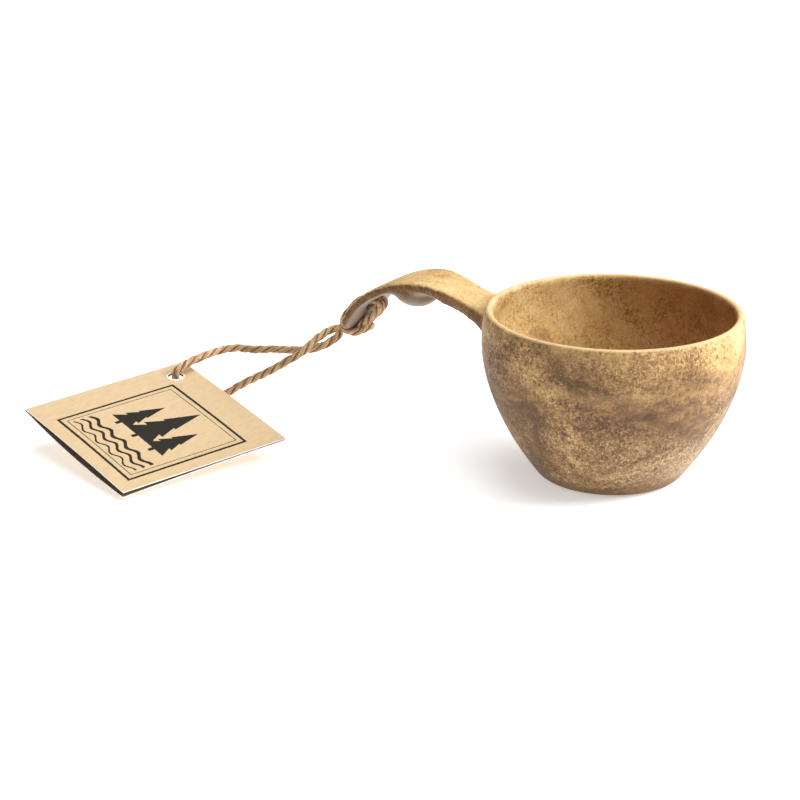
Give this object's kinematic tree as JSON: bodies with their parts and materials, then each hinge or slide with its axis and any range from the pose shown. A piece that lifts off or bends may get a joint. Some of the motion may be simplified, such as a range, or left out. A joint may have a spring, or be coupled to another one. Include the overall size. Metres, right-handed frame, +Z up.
{
  "type": "handled drinking cup with hang tag",
  "caption": "Round-bellied camping cup with a curved handle, a finger knob under it, and a folded card tag looped through the handle on a twisted cord.",
  "frame": {"origin": "centre of the flat foot, on the surface it stands on", "axes": "+Z up out of the bowl, the handle points along -X, the cup is symmetric about the XZ plane"},
  "size_m": [0.2426, 0.1685, 0.062],
  "materials": {
    "cup": "satin mottled wood-fibre composite",
    "cord": "twisted jute",
    "tag_face": "uncoated kraft card, printed",
    "tag_back": "uncoated card, dark printed inside"
  },
  "bodies": {
    "cup": {"cup_body": "cup", "cord_hitch": "cord"},
    "lanyard": {"cord_loop": "cord", "cord_knot": "cord"},
    "tag": {"tag_back_leaf": "tag_back"},
    "tag_cover": {"tag_front_leaf": "tag_face"}
  },
  "joints": [
    {"name": "lanyard_swing", "type": "hinge", "parent": "cup", "child": "lanyard", "pos_m": [-0.1175, 0, 0.0337], "axis": [0, 1, 0], "range_deg": [-50, 80]},
    {"name": "tag_swivel", "type": "hinge", "parent": "lanyard", "child": "tag", "pos_m": [-0.1667, -0.0439, 0.0171], "axis": [0.131, -0.1097, 0.9853], "range_deg": [-90, 20]},
    {"name": "card_opening", "type": "hinge", "parent": "tag", "child": "tag_cover", "pos_m": [-0.19502, -0.09848, 0.01465], "axis": [-0.3342, -0.9406, -0.0603], "range_deg": [0, 6]}
  ]
}
